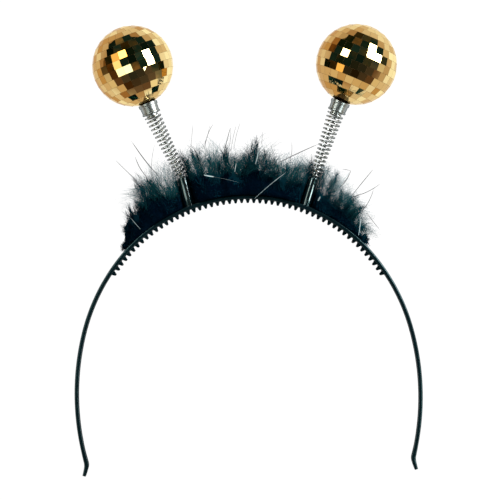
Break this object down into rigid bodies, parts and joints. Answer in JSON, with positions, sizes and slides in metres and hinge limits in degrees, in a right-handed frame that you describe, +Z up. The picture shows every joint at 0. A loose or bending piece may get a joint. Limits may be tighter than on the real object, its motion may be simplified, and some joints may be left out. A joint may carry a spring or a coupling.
{
  "type": "disco ball headband",
  "caption": "Toothed black plastic hair band with a black marabou trim over its crown and gold mirror balls that bob on conical springs.",
  "frame": {"origin": "on the table under the middle of the whole object, as it lies on its side on the balls and the tips of the band", "axes": "+Z up from the table, +Y from the tips of the band towards the balls, +X towards the right-hand ball"},
  "size_m": [0.1394, 0.1796, 0.0326],
  "materials": {
    "black_plastic": "gloss",
    "marabou": "matte",
    "spring_wire": "polished",
    "silver_cap": "polished",
    "gold_mirror": "polished"
  },
  "bodies": {
    "headband": {"headband": "black_plastic", "feather_trim": "marabou", "left_peg": "black_plastic", "right_peg": "black_plastic"},
    "left_spring": {"left_spring": "spring_wire"},
    "left_bobber": {"left_cap": "silver_cap", "left_ball": "gold_mirror"},
    "right_spring": {"right_spring": "spring_wire"},
    "right_bobber": {"right_cap": "silver_cap", "right_ball": "gold_mirror"}
  },
  "joints": [
    {"name": "left_sway", "type": "hinge", "parent": "headband", "child": "left_spring", "pos_m": [-0.02787, 0.0355, 0.01316], "axis": [0, -0.0841, 0.9965], "range_deg": [-30, 30], "stiffness_Nm_per_rad": 0.013, "deforming": ["left_spring"]},
    {"name": "left_nod", "type": "hinge", "parent": "left_spring", "child": "left_bobber", "pos_m": [-0.03347, 0.04763, 0.01418], "axis": [0.9085, 0.4164, 0.0351], "range_deg": [0, 30], "stiffness_Nm_per_rad": 0.013, "deforming": ["left_spring"]},
    {"name": "right_sway", "type": "hinge", "parent": "headband", "child": "right_spring", "pos_m": [0.03039, 0.03416, 0.01304], "axis": [0, 0.0841, -0.9965], "range_deg": [-30, 30], "stiffness_Nm_per_rad": 0.013, "deforming": ["right_spring"]},
    {"name": "right_nod", "type": "hinge", "parent": "right_spring", "child": "right_bobber", "pos_m": [0.03493, 0.04672, 0.0141], "axis": [0.9409, -0.3375, -0.0285], "range_deg": [0, 30], "stiffness_Nm_per_rad": 0.013, "deforming": ["right_spring"]}
  ]
}
